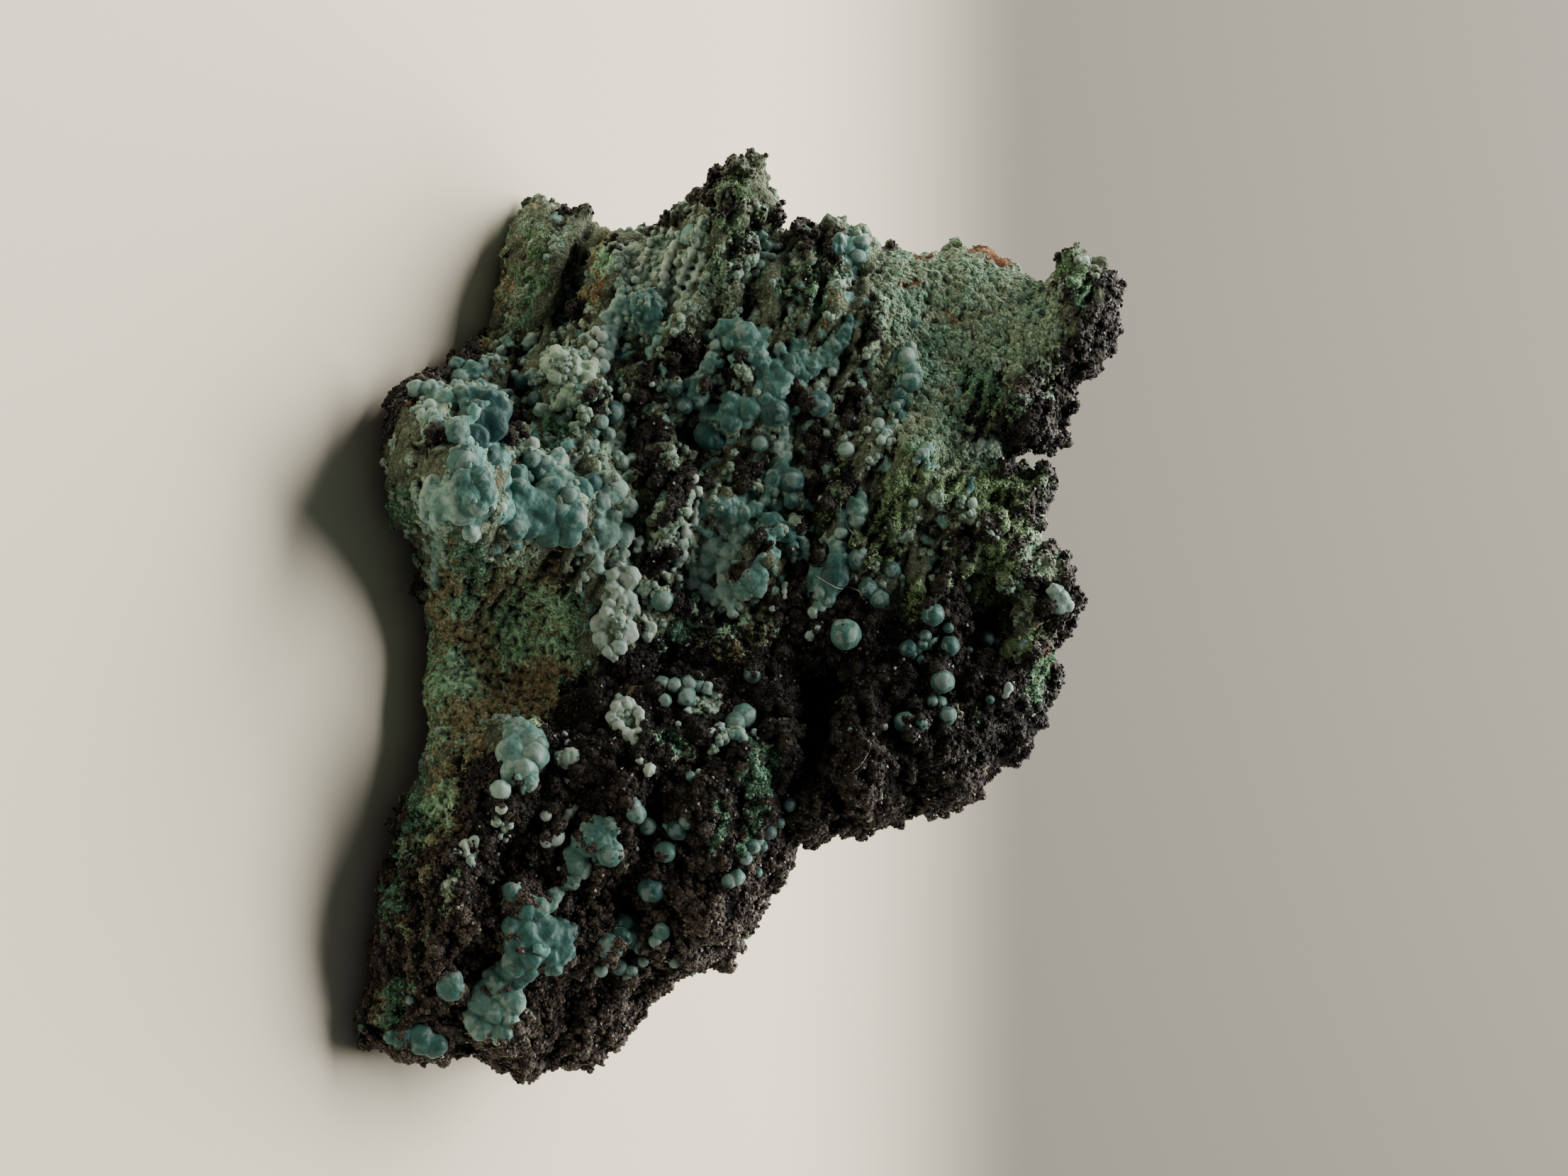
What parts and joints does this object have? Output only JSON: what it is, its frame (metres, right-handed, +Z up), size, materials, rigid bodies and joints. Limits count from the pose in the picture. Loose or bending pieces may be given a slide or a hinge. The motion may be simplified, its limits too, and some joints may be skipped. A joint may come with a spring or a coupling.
{
  "type": "rosasite and plattnerite specimen",
  "caption": "Free-standing mineral specimen: a wedge of matrix whose leaning face carries rosasite balls and plattnerite crystals, cut flat underneath.",
  "frame": {"origin": "middle of the footprint's bounding box, on the flat base", "axes": "+X to the right along the crystal face, -Y the way the face looks, +Z up"},
  "size_m": [0.0977, 0.0638, 0.0617],
  "materials": {
    "matrix": "matte",
    "rosasite": "satin",
    "plattnerite": "satin",
    "malachite": "matte",
    "lint": "matte"
  },
  "bodies": {
    "root": {"specimen": "matrix"}
  },
  "joints": []
}
